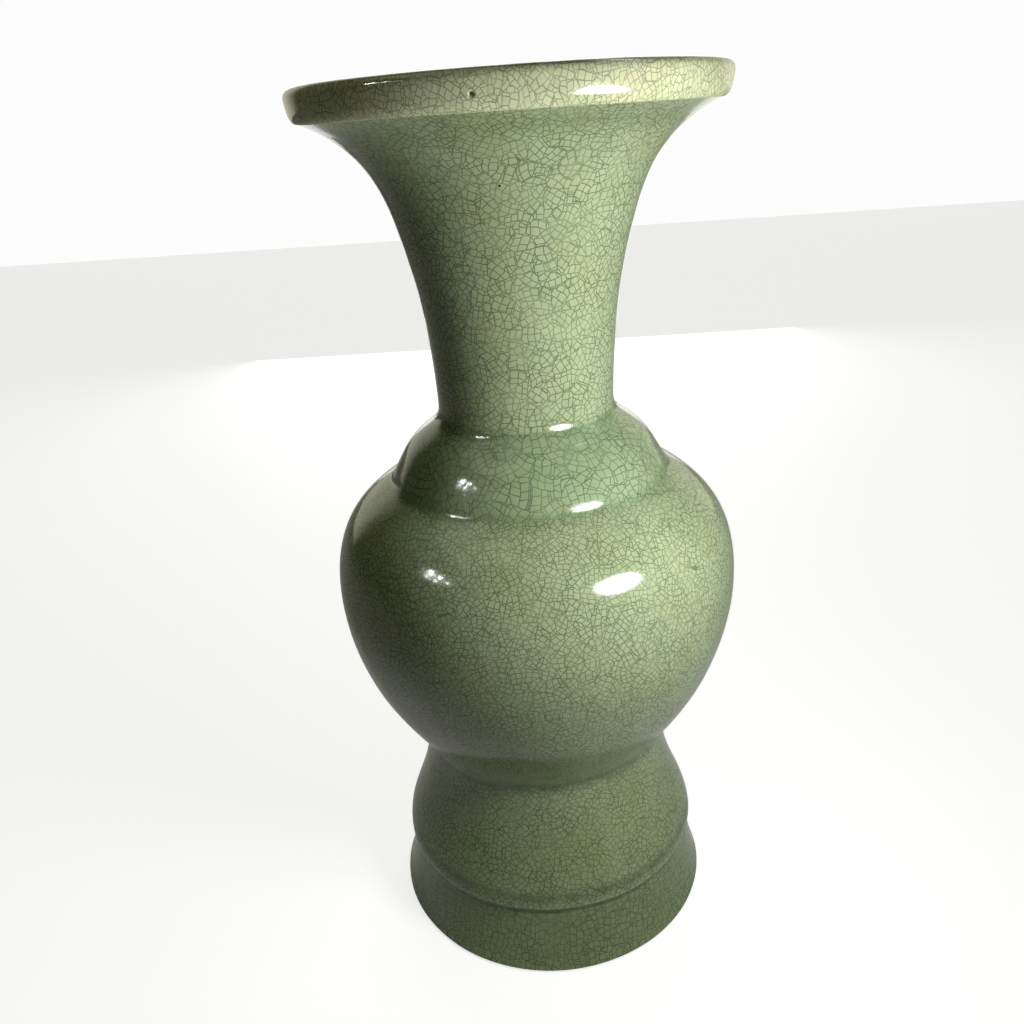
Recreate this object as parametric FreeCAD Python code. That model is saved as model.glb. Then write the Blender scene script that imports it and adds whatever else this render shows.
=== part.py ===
import FreeCAD, Part
import os

# Tall celadon porcelain vase, thrown in seven sections and luted together with slip, then glazed.
# Millimetres, +Z up. The origin is the centre of the foot ring's rest face.

# ---- Overall sizes, measured over the glaze
vase_height = 400.0
belly_diameter = 189.6
mouth_diameter = 175.4
foot_diameter = 163.0

# ---- Diameters at the creases
skirt_top_diameter = 149.2
drum_diameter = 152.8
waist_diameter = 123.4
collar_diameter = 127.0
neck_diameter = 79.2

# ---- Heights of the sections from the foot up; the neck takes what is left of the whole height
skirt_height = 34.0
ledge_height = 2.8
drum_height = 61.2
lower_belly_height = 84.0
upper_belly_height = 53.8
collar_height = 28.7
mouth_band_height = 13.4

# ---- Walls, rounds and coats
wall = 6.0
floor_thickness = 8.0
mouth_band_thickness = 8.5
mouth_band_overhang = 3.6
mouth_band_rise = 4.6
mouth_band_bulge = 0.7
lip_round = 3.6
lip_inner_round = 2.6
foot_ring_width = 8.5
foot_ring_chamfer = 2.4
glaze = 0.7
bare_foot_height = 1.8
glaze_pool_reach = 2.2

# ---- Inside the two hollows
mouth_slope = 0.09
floor_fillet = 18.0
floor_dish = 1.2
well_fillet = 12.0

# ---- Luted joints
seam_step = 3.0
slip = 0.6

# Shares of the way out and up at which each stretch of the outline bends
SKIRT_BEND = [(0.60, 0.46)]
DRUM_BEND = [(0.10, 0.13), (0.50, 0.38), (0.86, 0.66), (0.98, 0.83)]
LOWER_BELLY_BEND = [(0.46, 0.285), (0.655, 0.43), (0.84, 0.62), (0.955, 0.80)]
UPPER_BELLY_BEND = [(0.085, 0.41), (0.26, 0.635), (0.55, 0.82)]
COLLAR_BEND = [(0.12, 0.22), (0.36, 0.53), (0.70, 0.79)]
NECK_BEND = [(0.028, 0.24), (0.10, 0.455), (0.21, 0.636), (0.425, 0.835), (0.73, 0.95)]

UP = (0.0, 1.0)
INWARDS = (-1.0, 0.0)
DOWN = (0.0, -1.0)
FLARE_END = (1.0, 0.42)
BAND_START = (0.18, 1.0)


def point(radius, level):
    return FreeCAD.Vector(radius, 0.0, level)


def curve(points, start_direction, end_direction):
    """A smooth curve through the points, leaving and arriving in the two directions."""
    travelled = [0.0]
    for here, there in zip(points, points[1:]):
        travelled.append(travelled[-1] + (there - here).Length)
    leaving = point(*start_direction).normalize()
    arriving = point(*end_direction).normalize()
    spline = Part.BSplineCurve()
    spline.interpolate(Points=points, Parameters=travelled,
                       InitialTangent=leaving, FinalTangent=arriving, Scale=False)
    return spline


def stretch(start, end, bends, start_direction, end_direction):
    """One stretch of the outline, bent at shares of its way out and up."""
    inner = [point(start.x + out * (end.x - start.x), start.z + up * (end.z - start.z)) for out, up in bends]
    return curve([start] + inner + [end], start_direction, end_direction)


def parameter_at(line, share):
    return line.FirstParameter + share * (line.LastParameter - line.FirstParameter)


def direction_at(line, share):
    along = line.tangent(parameter_at(line, share))[0]
    return (along.x, along.z)


def inward_point(line, share, depth):
    """The point at a share of a line that runs up the outside, moved into the clay by a depth."""
    out, up = direction_at(line, share)
    return line.value(parameter_at(line, share)) + point(-up, out) * depth


def corner_point(before, after, depth):
    """Where two lines that meet at a corner still meet when both are moved into the clay."""
    out_before, up_before = direction_at(before, 1.0)
    out_after, up_after = direction_at(after, 0.0)
    normal_sum = point(-up_before - up_after, out_before + out_after)
    facing = 1.0 + out_before * out_after + up_before * up_after
    return before.value(before.LastParameter) + normal_sum * (depth / facing)


def inset(lines, depth, samples=6):
    """The outline's lines moved into the clay, with their corners kept."""
    corners = [inward_point(lines[0], 0.0, depth)]
    corners += [corner_point(before, after, depth) for before, after in zip(lines, lines[1:])]
    corners.append(inward_point(lines[-1], 1.0, depth))
    moved = []
    for line, start, end in zip(lines, corners, corners[1:]):
        inner = [inward_point(line, step / samples, depth) for step in range(1, samples)]
        moved.append(curve([start] + inner + [end], direction_at(line, 0.0), direction_at(line, 1.0)))
    return moved


def pooled(lines, corners):
    """The same lines with each named corner filled by a soft pool of glaze."""
    spans = [[line.FirstParameter, line.LastParameter] for line in lines]
    for corner in corners:
        spans[corner][1] = lines[corner].parameterAtDistance(-glaze_pool_reach, lines[corner].LastParameter)
        spans[corner + 1][0] = lines[corner + 1].parameterAtDistance(glaze_pool_reach, spans[corner + 1][0])
    edges = []
    for index, (line, (first, last)) in enumerate(zip(lines, spans)):
        edges.append(line.toShape(first, last))
        if index in corners:
            following = lines[index + 1]
            start_along = line.tangent(last)[0]
            end_along = following.tangent(spans[index + 1][0])[0]
            pool = curve([line.value(last), following.value(spans[index + 1][0])],
                         (start_along.x, start_along.z), (end_along.x, end_along.z))
            edges.append(pool.toShape())
    return edges


def shapes(lines):
    return [line.toShape() for line in lines]


def straight(start, end):
    return Part.LineSegment(start, end).toShape()


def face(edges):
    return Part.Face(Part.Wire(Part.__sortEdges__(edges)))


def turned(flat):
    """The solid that a flat outline sweeps in one full turn about the vase's axis."""
    return flat.revolve(FreeCAD.Vector(0, 0, 0), FreeCAD.Vector(0, 0, 1), 360)


# ---- The outside, from the edge of the bare foot up and over the lip
foot_radius = foot_diameter / 2
belly_radius = belly_diameter / 2
mouth_radius = mouth_diameter / 2
band_base_level = vase_height - mouth_band_height

drum_base_level = skirt_height + ledge_height
belly_base_level = drum_base_level + drum_height
belly_level = belly_base_level + lower_belly_height
collar_base_level = belly_level + upper_belly_height
neck_base_level = collar_base_level + collar_height

foot_edge = point(foot_radius, bare_foot_height)
skirt_top = point(skirt_top_diameter / 2, skirt_height)
drum_base = point(drum_diameter / 2, drum_base_level)
waist = point(waist_diameter / 2, belly_base_level)
widest = point(belly_radius, belly_level)
collar_base = point(collar_diameter / 2, collar_base_level)
neck_base = point(neck_diameter / 2, neck_base_level)
flare_end = point(mouth_radius - mouth_band_overhang, band_base_level)
band_low = point(mouth_radius - mouth_band_bulge, band_base_level + mouth_band_rise)
band_high = point(mouth_radius, vase_height - lip_round)
lip_outer = point(mouth_radius - lip_round, vase_height)
lip_inner = point(mouth_radius - mouth_band_thickness + lip_inner_round, vase_height)
lip_end = point(mouth_radius - mouth_band_thickness, vase_height - lip_inner_round)

skirt = stretch(foot_edge, skirt_top, SKIRT_BEND, (-0.40, 1.0), (-0.10, 1.0))
ledge = stretch(skirt_top, drum_base, [], (1.0, 1.0), (0.45, 1.0))
drum = stretch(drum_base, waist, DRUM_BEND, UP, UP)
lower_belly = stretch(waist, widest, LOWER_BELLY_BEND, (0.64, 1.0), UP)
upper_belly = stretch(widest, collar_base, UPPER_BELLY_BEND, UP, (-1.0, 0.62))
collar = stretch(collar_base, neck_base, COLLAR_BEND, (-0.20, 1.0), (-0.80, 1.0))
neck = stretch(neck_base, flare_end, NECK_BEND, UP, FLARE_END)
band_foot = stretch(flare_end, band_low, [], FLARE_END, BAND_START)
band = stretch(band_low, band_high, [], BAND_START, UP)
lip_over = stretch(band_high, lip_outer, [(0.29, 0.71)], UP, INWARDS)
lip_top = stretch(lip_outer, lip_inner, [], INWARDS, INWARDS)
lip_under = stretch(lip_inner, lip_end, [(0.71, 0.29)], INWARDS, DOWN)

outside = [skirt, ledge, drum, lower_belly, upper_belly, collar, neck,
           band_foot, band, lip_over, lip_top, lip_under]
pooled_corners = [outside.index(line) for line in (skirt, drum, upper_belly, collar)]


# ---- The inside, followed from the outside at the wall's depth
cavity_floor_level = belly_base_level + floor_thickness + 3 * glaze
well_ceiling_level = belly_base_level + glaze

# Stretches and shares whose wall the two hollows keep; a share of 0 is the crease below the stretch
CAVITY_STATIONS = [(neck, 0.88), (neck, 0.70), (neck, 0.50), (neck, 0.28), (neck, 0.12), (neck, 0.0),
                   (collar, 0.45), (collar, 0.0), (upper_belly, 0.70), (upper_belly, 0.38),
                   (upper_belly, 0.0), (lower_belly, 0.66), (lower_belly, 0.40)]
WELL_STATIONS = [(skirt, 0.45), (skirt, 0.95), (drum, 0.30), (drum, 0.60), (drum, 0.84)]


def wall_point(line, share, depth):
    """The wall's inner side at a share of a stretch, or at the crease below it."""
    if share > 0:
        return inward_point(line, share, depth)
    return corner_point(outside[outside.index(line) - 1], line, depth)


def cavity_line(coats):
    """The hollow's outline from the lip down to the middle of the floor, on top of some coats of glaze."""
    depth = wall + glaze * (1 + coats)
    bare = glaze * (1 - coats)
    lip = inward_point(lip_under, 1.0, bare)
    below_lip = lip + point(-mouth_slope * mouth_band_height, -mouth_band_height / 2)
    walls = [wall_point(line, share, depth) for line, share in CAVITY_STATIONS]
    floor_level = belly_base_level + floor_thickness + 3 * glaze - bare
    corner = point(waist.x - floor_fillet, floor_level + floor_dish)
    return curve([lip, below_lip] + walls + [corner, point(0, floor_level)], DOWN, INWARDS)


def well_line(coats):
    """The hollow foot's outline from the bare ring up to the middle of its ceiling."""
    depth = wall + glaze * (1 + coats)
    start = point(foot_radius - glaze - foot_ring_width - glaze * coats, bare_foot_height)
    walls = [wall_point(line, share, depth) for line, share in WELL_STATIONS]
    ceiling_level = belly_base_level + glaze * (2 - coats)
    rounding = walls[-1] + point(-0.25 * well_fillet, 0.85 * well_fillet)
    corner = point(walls[-1].x - well_fillet, ceiling_level - floor_dish / 3)
    inner = walls + [rounding, corner, point(corner.x / 2, ceiling_level)]
    return curve([start] + inner + [point(0, ceiling_level)], (-0.15, 1.0), INWARDS)


# ---- The fired clay as one flat outline, before it is parted at the seams
def clay_face():
    coated = inset(outside, glaze)
    cavity = cavity_line(0)
    well = well_line(0)
    outer_start = coated[0].value(coated[0].FirstParameter)
    well_start = well.value(well.FirstParameter)
    rest_outer = point(outer_start.x - foot_ring_chamfer, 0)
    rest_inner = point(well_start.x + foot_ring_chamfer / 2, 0)
    axis_top = cavity.value(cavity.LastParameter)
    axis_base = well.value(well.LastParameter)
    edges = shapes(coated + [cavity, well])
    edges += [straight(rest_outer, outer_start), straight(rest_inner, rest_outer)]
    edges += [straight(rest_inner, well_start), straight(axis_base, axis_top)]
    return face(edges)


class Seam:
    """A stepped luting seam: its level outside, and how far its inner half lies above that."""

    def __init__(self, name, outer_point, rise):
        self.name = name
        self.level = outer_point.z
        self.rise = rise
        self.riser_radius = outer_point.x - glaze - wall / 2

    def path(self, offset):
        """The seam's line from the axis to beyond the vase, moved up by an offset."""
        outward = 1 if self.rise > 0 else -1
        riser = self.riser_radius + outward * offset
        far = vase_height
        inner_level = self.level + self.rise + offset
        outer_level = self.level + offset
        return [point(0, inner_level), point(riser, inner_level), point(riser, outer_level), point(far, outer_level)]


seams = [
    Seam("slip_skirt_to_drum", skirt_top, seam_step),
    Seam("slip_foot_to_belly", waist, -seam_step),
    Seam("slip_belly_middle", widest, seam_step),
    Seam("slip_belly_to_collar", collar_base, seam_step),
    Seam("slip_collar_to_neck", neck_base, seam_step),
    Seam("slip_neck_to_mouth", flare_end, seam_step),
]
section_names = ["foot_skirt", "foot_drum", "belly_lower_bowl", "belly_upper_bowl",
                 "shoulder_collar", "neck", "mouth_band"]


def between(lower, upper):
    """The flat region between two paths that run outwards from the axis."""
    corners = lower + upper[::-1]
    edges = [straight(a, b) for a, b in zip(corners, corners[1:] + corners[:1])]
    return face(edges)


def parted_nodes(clay):
    """The clay sections and the slip between them, each as a solid of its own."""
    ground = [point(0, -1), point(vase_height, -1)]
    sky = [point(0, vase_height + 1), point(vase_height, vase_height + 1)]
    below = [ground] + [seam.path(slip / 2) for seam in seams]
    above = [seam.path(-slip / 2) for seam in seams] + [sky]
    nodes = {}
    for name, lower, upper in zip(section_names, below, above):
        nodes[name] = turned(clay.common(between(lower, upper)).Faces[0])
    for seam, lower, upper in zip(seams, above, below[1:]):
        nodes[seam.name] = turned(clay.common(between(lower, upper)).Faces[0])
    return nodes


# ---- The glaze: one coat outside and over the lip, one inside, one in the hollow foot
def outer_glaze_face():
    coated = inset(outside, glaze)
    edges = pooled(outside, pooled_corners) + shapes(coated)
    edges.append(straight(foot_edge, coated[0].value(coated[0].FirstParameter)))
    edges.append(straight(lip_end, coated[-1].value(coated[-1].LastParameter)))
    return face(edges)


def lining_face(clay_line, glazed_line):
    edges = shapes([clay_line, glazed_line])
    edges.append(straight(clay_line.value(clay_line.FirstParameter), glazed_line.value(glazed_line.FirstParameter)))
    edges.append(straight(clay_line.value(clay_line.LastParameter), glazed_line.value(glazed_line.LastParameter)))
    return face(edges)


nodes = parted_nodes(clay_face())
nodes["outer_glaze"] = turned(outer_glaze_face())
nodes["inner_glaze"] = turned(lining_face(cavity_line(0), cavity_line(1)))
nodes["foot_well_glaze"] = turned(lining_face(well_line(0), well_line(1)))

os.makedirs("parts", exist_ok=True)
for name, shape in nodes.items():
    shape.exportStep(os.path.join("parts", name + ".step"))
    print(name, "valid" if shape.isValid() else "NOT VALID", len(shape.Solids), round(shape.Volume / 1000, 2), "cm3")
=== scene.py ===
import math
import random

import bmesh
import bpy
import numpy as np
from mathutils import Matrix, Vector


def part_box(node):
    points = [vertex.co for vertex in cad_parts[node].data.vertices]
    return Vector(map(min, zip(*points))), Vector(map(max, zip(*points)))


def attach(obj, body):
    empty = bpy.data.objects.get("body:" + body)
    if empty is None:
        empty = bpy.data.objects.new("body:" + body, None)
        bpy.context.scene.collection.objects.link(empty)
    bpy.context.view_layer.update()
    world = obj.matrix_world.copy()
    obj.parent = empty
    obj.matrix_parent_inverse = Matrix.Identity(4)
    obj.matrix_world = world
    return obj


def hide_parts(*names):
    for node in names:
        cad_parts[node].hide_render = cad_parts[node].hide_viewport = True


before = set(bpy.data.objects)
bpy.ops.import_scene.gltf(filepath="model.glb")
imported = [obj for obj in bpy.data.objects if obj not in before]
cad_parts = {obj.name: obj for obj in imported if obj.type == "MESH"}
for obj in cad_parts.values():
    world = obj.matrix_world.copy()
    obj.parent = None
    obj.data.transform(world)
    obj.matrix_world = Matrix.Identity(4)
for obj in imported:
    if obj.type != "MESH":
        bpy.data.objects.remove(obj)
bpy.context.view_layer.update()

# A tall celadon vase: thrown clay sections under one crackled glaze.
# The outline is worked out in millimetres of radius and level, and the meshes are in metres.
MM = 0.001
GLAZE = 0.7
SLIP = 0.6
WALL = 6.0
TURN_STEPS = 256

# ---- Sizes of the outline
FOOT_RADIUS = 81.5
SKIRT_TOP_RADIUS = 74.6
DRUM_RADIUS = 76.4
WAIST_RADIUS = 61.7
COLLAR_BASE_RADIUS = 63.5
NECK_BASE_RADIUS = 39.6
BAND_OVERHANG = 3.6
BAND_RISE = 4.6
BAND_BULGE = 0.7
BAND_THICKNESS = 8.5
LIP_ROUND = 3.6
LIP_INNER_ROUND = 2.6
FOOT_RING_WIDTH = 8.5
LEDGE_RISE = 2.8

# How far to each side of a crease the glaze rounds it off
LEDGE_POOL = 1.4
LEDGE_SOFTNESS = 0.5
POOL_REACH = 2.2
COLLAR_POOL_REACH = 2.8
NECK_POOL_REACH = 4.8

# Headings of the outline, as (outwards, upwards)
UP = (0.0, 1.0)
DOWN = (0.0, -1.0)
INWARDS = (-1.0, 0.0)
SKIRT_START = (-0.40, 1.0)
SKIRT_END = (-0.10, 1.0)
LEDGE_START = (1.0, 1.0)
LEDGE_END = (0.45, 1.0)
BELLY_START = (0.64, 1.0)
BELLY_END = (-1.0, 0.62)
COLLAR_START = (-0.20, 1.0)
COLLAR_END = (-0.80, 1.0)
FLARE_END = (1.0, 0.42)
BAND_START = (0.18, 1.0)

# Shares of the way out and up at which each stretch of the outline bends
SKIRT_BEND = [(0.60, 0.46)]
DRUM_BEND = [(0.10, 0.13), (0.50, 0.38), (0.86, 0.66), (0.98, 0.83)]
LOWER_BELLY_BEND = [(0.46, 0.285), (0.655, 0.43), (0.84, 0.62), (0.955, 0.80)]
UPPER_BELLY_BEND = [(0.085, 0.41), (0.26, 0.635), (0.55, 0.82)]
COLLAR_BEND = [(0.12, 0.22), (0.36, 0.53), (0.70, 0.79)]
NECK_BEND = [(0.028, 0.24), (0.10, 0.455), (0.21, 0.636), (0.425, 0.835), (0.73, 0.95)]
LIP_OUTER_BEND = [(0.29, 0.71)]
LIP_INNER_BEND = [(0.71, 0.29)]


# ---- Lines in the plane of radius and level
class Line:
    """A smooth line through points, with a set heading at each end."""

    def __init__(self, points, leaving, arriving):
        self.points = np.array(points, float)
        self.gaps = np.hypot(*np.diff(self.points, axis=0).T)
        self.marks = np.concatenate([[0.0], np.cumsum(self.gaps)])
        self.length = self.marks[-1]
        self.slopes = self.smooth_slopes(leaving, arriving)

    def smooth_slopes(self, leaving, arriving):
        count = len(self.points)
        chords = np.diff(self.points, axis=0) / self.gaps[:, None]
        left = np.eye(count)
        right = np.zeros((count, 2))
        right[0] = np.array(leaving) / math.hypot(*leaving)
        right[-1] = np.array(arriving) / math.hypot(*arriving)
        for i in range(1, count - 1):
            before, after = self.gaps[i - 1], self.gaps[i]
            left[i, i - 1:i + 2] = after, 2 * (before + after), before
            right[i] = 3 * (after * chords[i - 1] + before * chords[i])
        return np.linalg.solve(left, right)

    def place(self, mark):
        """Which span a mark lies in, how far along it, and the span's length."""
        span = np.clip(np.searchsorted(self.marks, mark, side="right") - 1, 0, len(self.gaps) - 1)
        gap = self.gaps[span]
        return span, (mark - self.marks[span]) / gap, gap

    def at(self, mark):
        span, t, gap = self.place(np.asarray(mark, float))
        t, gap = t[..., None], gap[..., None]
        start, end = self.points[span], self.points[span + 1]
        leaving, arriving = self.slopes[span], self.slopes[span + 1]
        return (start * (1 + 2 * t) * (1 - t) ** 2 + end * t * t * (3 - 2 * t)
                + gap * leaving * t * (1 - t) ** 2 - gap * arriving * t * t * (1 - t))

    def heading(self, mark):
        span, t, gap = self.place(np.asarray(mark, float))
        t, gap = t[..., None], gap[..., None]
        start, end = self.points[span], self.points[span + 1]
        leaving, arriving = self.slopes[span], self.slopes[span + 1]
        along = (6 * t * (1 - t) * (end - start) / gap
                 + leaving * (1 - t) * (1 - 3 * t) - arriving * t * (2 - 3 * t))
        return along / np.linalg.norm(along, axis=-1, keepdims=True)

    def inward(self, share, depth):
        """The point at a share of a line that runs up the outside, moved into the clay."""
        out, up = self.heading(share * self.length)
        return self.at(share * self.length) + depth * np.array([-up, out])


def stretch(start, end, bends, leaving, arriving):
    """One stretch of the outline, bent at shares of its way out and up."""
    start, end = np.array(start), np.array(end)
    inner = [start + np.array(bend) * (end - start) for bend in bends]
    return Line([start] + inner + [end], leaving, arriving)


def crease_point(before, after, depth):
    """Where two stretches that meet at a crease still meet when both are moved into the clay."""
    out_before, up_before = before.heading(before.length)
    out_after, up_after = after.heading(0.0)
    facing = 1.0 + out_before * out_after + up_before * up_after
    aside = np.array([-up_before - up_after, out_before + out_after])
    return before.at(before.length) + aside * depth / facing


def seam_level(node, at_top=False):
    """The level of a luted seam on the outside, in millimetres."""
    low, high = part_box(node)
    if at_top:
        return high.z / MM - SLIP / 2
    return low.z / MM + SLIP / 2


glaze_low, glaze_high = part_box("outer_glaze")
foot_level = glaze_low.z / MM
vase_height = glaze_high.z / MM
belly_radius = glaze_high.x / MM
mouth_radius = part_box("mouth_band")[1].x / MM + GLAZE
skirt_top_level = seam_level("slip_skirt_to_drum")
waist_level = seam_level("slip_foot_to_belly", at_top=True)
belly_level = seam_level("slip_belly_middle")
collar_base_level = seam_level("slip_belly_to_collar")
neck_base_level = seam_level("slip_collar_to_neck")
band_base_level = seam_level("slip_neck_to_mouth")

foot_edge = (FOOT_RADIUS, foot_level)
skirt_top = (SKIRT_TOP_RADIUS, skirt_top_level)
drum_base = (DRUM_RADIUS, skirt_top_level + LEDGE_RISE)
waist = (WAIST_RADIUS, waist_level)
widest = (belly_radius, belly_level)
collar_base = (COLLAR_BASE_RADIUS, collar_base_level)
neck_base = (NECK_BASE_RADIUS, neck_base_level)
flare_end = (mouth_radius - BAND_OVERHANG, band_base_level)
band_low = (mouth_radius - BAND_BULGE, band_base_level + BAND_RISE)
band_high = (mouth_radius, vase_height - LIP_ROUND)
lip_outer = (mouth_radius - LIP_ROUND, vase_height)
lip_inner = (mouth_radius - BAND_THICKNESS + LIP_INNER_ROUND, vase_height)
lip_end = (mouth_radius - BAND_THICKNESS, vase_height - LIP_INNER_ROUND)

skirt = stretch(foot_edge, skirt_top, SKIRT_BEND, SKIRT_START, SKIRT_END)
ledge = stretch(skirt_top, drum_base, [], LEDGE_START, LEDGE_END)
drum = stretch(drum_base, waist, DRUM_BEND, UP, UP)
lower_belly = stretch(waist, widest, LOWER_BELLY_BEND, BELLY_START, UP)
upper_belly = stretch(widest, collar_base, UPPER_BELLY_BEND, UP, BELLY_END)
collar = stretch(collar_base, neck_base, COLLAR_BEND, COLLAR_START, COLLAR_END)
neck = stretch(neck_base, flare_end, NECK_BEND, UP, FLARE_END)
band_foot = stretch(flare_end, band_low, [], FLARE_END, BAND_START)
band = stretch(band_low, band_high, [], BAND_START, UP)
lip_over = stretch(band_high, lip_outer, LIP_OUTER_BEND, UP, INWARDS)
lip_top = stretch(lip_outer, lip_inner, [], INWARDS, INWARDS)
lip_under = stretch(lip_inner, lip_end, LIP_INNER_BEND, INWARDS, DOWN)
outside = [skirt, ledge, drum, lower_belly, upper_belly, collar, neck,
           band_foot, band, lip_over, lip_top, lip_under]

# How far the glaze softens the crease at each stretch's upper end, where there is one
SOFTENED = {skirt: LEDGE_POOL, ledge: LEDGE_SOFTNESS, drum: POOL_REACH, upper_belly: COLLAR_POOL_REACH,
            collar: NECK_POOL_REACH}
FINE_STEP = 0.05
SHARPEST_TURN = math.radians(5)


def sampled(line, first, last):
    """A line in fine steps, as rows of (radius, level, heading out, heading up)."""
    marks = np.linspace(first, last, max(2, int((last - first) / FINE_STEP)))
    return np.hstack([line.at(marks), line.heading(marks)])


def glazed_outline():
    """The outside in fine steps, and how far along it each stretch's upper end lies."""
    runs = []
    ends = {}
    travelled = 0.0
    start = 0.0
    for index, line in enumerate(outside):
        reach = SOFTENED.get(line, 0.0)
        runs.append(sampled(line, start, line.length - reach))
        travelled += np.hypot(*np.diff(runs[-1][:, :2], axis=0).T).sum()
        ends[line] = travelled
        start = reach
        if reach:
            following = outside[index + 1]
            from_point, to_point = line.at(line.length - reach), following.at(reach)
            pool = Line([from_point, to_point], line.heading(line.length - reach), following.heading(reach))
            runs.append(sampled(pool, 0.0, pool.length))
            length = np.hypot(*np.diff(runs[-1][:, :2], axis=0).T).sum()
            ends[line] = travelled + length / 2
            travelled += length
    return np.vstack(runs), ends


def rows_along(fine, first, last, longest):
    """Rows of (radius, level, facing out, facing up, reach) along a fine line, closer where it bends."""
    steps = np.hypot(*np.diff(fine[:, :2], axis=0).T)
    reach = np.concatenate([[0.0], np.cumsum(steps)])
    last = reach[-1] if last is None else last
    turning = np.linalg.norm(np.diff(fine[:, 2:], axis=0), axis=1)
    cost = np.concatenate([[0.0], np.cumsum(np.maximum(steps / longest, turning / SHARPEST_TURN))])
    first_cost, last_cost = np.interp([first, last], reach, cost)
    count = max(2, math.ceil(last_cost - first_cost) + 1)
    wanted = np.interp(np.linspace(first_cost, last_cost, count), cost, reach)
    columns = [np.interp(wanted, reach, fine[:, i]) for i in range(4)]
    radius, level, out, up = columns
    return np.column_stack([radius, level, up, -out, wanted])


fine_outline, stretch_ends = glazed_outline()


# ---- The two hollows, followed from the outside at the wall's depth
MOUTH_SLOPE = 0.09
FLOOR_THICKNESS = 8.0
FLOOR_FILLET = 18.0
FLOOR_DISH = 1.2
WELL_FILLET = 12.0
CAVITY_STATIONS = [(neck, 0.88), (neck, 0.70), (neck, 0.50), (neck, 0.28), (neck, 0.12), (neck, 0.0),
                   (collar, 0.45), (collar, 0.0), (upper_belly, 0.70), (upper_belly, 0.38),
                   (upper_belly, 0.0), (lower_belly, 0.66), (lower_belly, 0.40)]
WELL_STATIONS = [(skirt, 0.45), (skirt, 0.95), (drum, 0.30), (drum, 0.60), (drum, 0.84)]


def wall_point(line, share, depth):
    if share > 0:
        return line.inward(share, depth)
    return crease_point(outside[outside.index(line) - 1], line, depth)


def cavity_line():
    """The inside of the vase over its glaze, from the lip down to the middle of the floor."""
    depth = WALL + 2 * GLAZE
    band_height = vase_height - band_base_level
    lip = lip_under.at(lip_under.length)
    below_lip = lip + np.array([-MOUTH_SLOPE, -0.5]) * band_height
    walls = [wall_point(line, share, depth) for line, share in CAVITY_STATIONS]
    floor_level = waist_level + FLOOR_THICKNESS + 3 * GLAZE
    corner = (WAIST_RADIUS - FLOOR_FILLET, floor_level + FLOOR_DISH)
    return Line([lip, below_lip] + walls + [corner, (0.0, floor_level)], DOWN, INWARDS)


def well_line():
    """The hollow foot over its glaze, from the bare ring up to the middle of its ceiling."""
    depth = WALL + 2 * GLAZE
    start = (FOOT_RADIUS - 2 * GLAZE - FOOT_RING_WIDTH, foot_level)
    walls = [wall_point(line, share, depth) for line, share in WELL_STATIONS]
    ceiling = waist_level + GLAZE
    rounding = walls[-1] + np.array([-0.25, 0.85]) * WELL_FILLET
    corner = (walls[-1][0] - WELL_FILLET, ceiling - FLOOR_DISH / 3)
    inner = walls + [rounding, corner, (corner[0] / 2, ceiling)]
    return Line([start] + inner + [(0.0, ceiling)], (-0.15, 1.0), INWARDS)


# ---- How the glaze's surface wanders: the thrower's hand and the melt
wander = random.Random(11)


def wave_set(count, shortest, longest, steepness):
    """Waves in all directions, each as high as its length and steepness give."""
    waves = []
    for _ in range(count):
        length = shortest * (longest / shortest) ** wander.random()
        direction = Vector((wander.gauss(0, 1), wander.gauss(0, 1), wander.gauss(0, 1))).normalized()
        height = steepness * length / (2 * math.pi) / math.sqrt(count)
        waves.append((np.array(direction) * 2 * math.pi / length, height, wander.uniform(0, 2 * math.pi)))
    return waves


HAND_WAVES = wave_set(14, shortest=45.0, longest=110.0, steepness=0.016)
MELT_WAVES = wave_set(26, shortest=7.0, longest=20.0, steepness=0.011)
# Faint turning marks: how far above the widest line, in millimetres, how deep and how wide
TURNING_MARKS = [(11.0, 0.035, 0.8), (-6.0, 0.045, 0.9), (-31.0, 0.03, 1.0), (-125.0, 0.03, 0.9)]
MARK_SWAY = 0.5
MARK_MEAN = 0.55
MARK_SWING = 0.45
# The wandering surface lies this much inside the true outline, and never outside it
SET_BACK = 0.16


def surface_shift(spots):
    """How far the glaze stands off its true outline at each spot, and that shift's gradient."""
    shift = np.full(len(spots), -SET_BACK)
    slope = np.zeros((len(spots), 3))
    for direction, height, phase in HAND_WAVES + MELT_WAVES:
        angle = spots @ direction + phase
        shift += height * np.sin(angle)
        slope += height * np.cos(angle)[:, None] * direction
    around = np.arctan2(spots[:, 1], spots[:, 0])
    for rise, depth, width in TURNING_MARKS:
        away = (spots[:, 2] - belly_level - rise - MARK_SWAY * np.sin(around + rise)) / width
        strength = depth * (MARK_MEAN + MARK_SWING * np.sin(2 * around + rise))
        mark = strength * np.exp(-away ** 2)
        shift -= mark
        slope[:, 2] += 2 * mark * away / width
    return np.minimum(shift, 0.0), slope


# ---- Coats of glaze as closed shells
# What each corner of a shell knows: its side, which way it faces, and its reach along the outline
NOTES = ("open_side", "out", "up", "reach")
BAKE_MARGIN = 0.008
BAKE_STRIP = 0.03


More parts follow.
